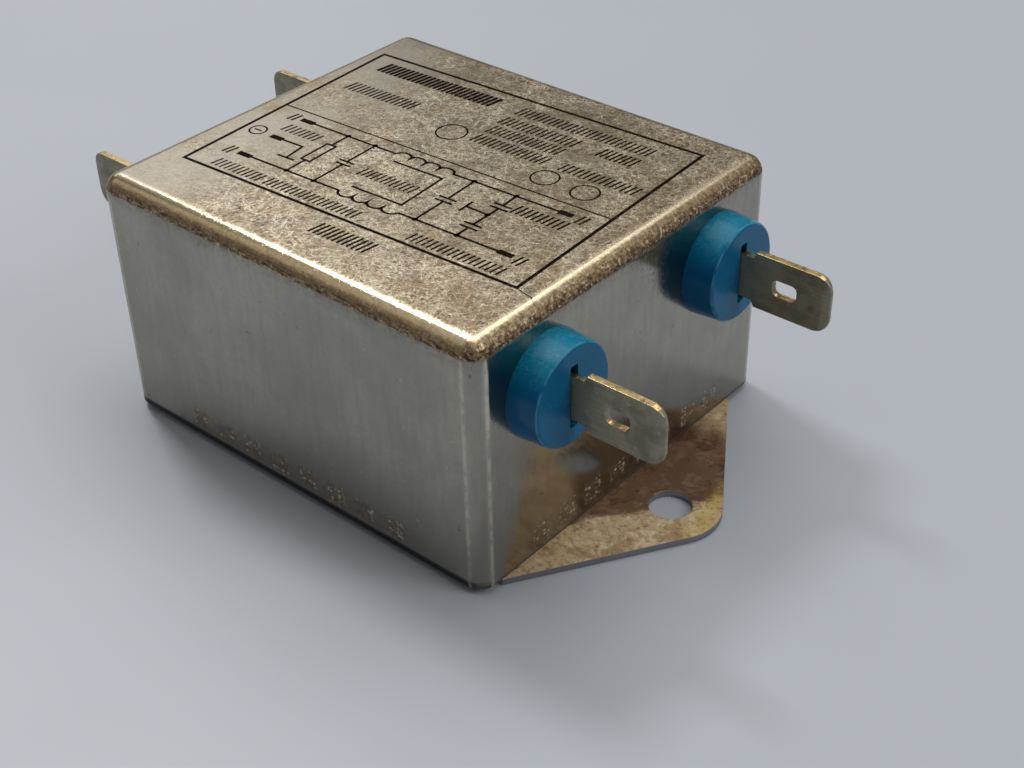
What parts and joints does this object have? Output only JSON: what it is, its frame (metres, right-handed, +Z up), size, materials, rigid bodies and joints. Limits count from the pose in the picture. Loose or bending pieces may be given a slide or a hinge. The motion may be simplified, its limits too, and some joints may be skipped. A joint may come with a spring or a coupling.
{
  "type": "mains interference filter",
  "caption": "Mains interference filter in a drawn metal can on a strap plate with screw ears; blue bushings carry flat push-on blades at both ends.",
  "frame": {"origin": "middle of the mounting plate's underside", "axes": "+X towards the load end, +Y towards the N terminals, +Z up towards the roof of the can"},
  "size_m": [0.079, 0.0464, 0.029],
  "materials": {
    "tinned_steel": "drawn, satin",
    "cover_steel": "rolled, satin",
    "plate_steel": "tinned, stained tan",
    "blue_moulding": "satin",
    "blade_brass": "tin-plated, worn to brass at the edges",
    "rivet_steel": "plated",
    "ferrite": "coated",
    "copper_wire": "enamelled",
    "divider_plastic": "moulded",
    "sheet_film": "film",
    "x_capacitor_box": "moulded",
    "y_capacitor_box": "moulded",
    "resistor_coat": "lacquered",
    "tinned_wire": "tinned",
    "resin": "cast"
  },
  "bodies": {
    "root": {"case": "tinned_steel", "cover_tray": "cover_steel", "mounting_plate": "plate_steel", "line_bushing_l": "blue_moulding", "line_bushing_n": "blue_moulding", "load_bushing_l": "blue_moulding", "load_bushing_n": "blue_moulding", "line_blade_l": "blade_brass", "line_blade_n": "blade_brass", "load_blade_l": "blade_brass", "load_blade_n": "blade_brass", "earth_blade": "blade_brass", "earth_rivet": "rivet_steel", "choke_core": "ferrite", "choke_winding_l": "copper_wire", "choke_winding_n": "copper_wire", "choke_divider": "divider_plastic", "insulating_sheet": "sheet_film", "x_capacitor_line": "x_capacitor_box", "x_capacitor_load": "x_capacitor_box", "y_capacitor_l": "y_capacitor_box", "y_capacitor_n": "y_capacitor_box", "bleed_resistor": "resistor_coat", "earth_lead": "tinned_wire", "potting_resin": "resin"}
  },
  "joints": []
}
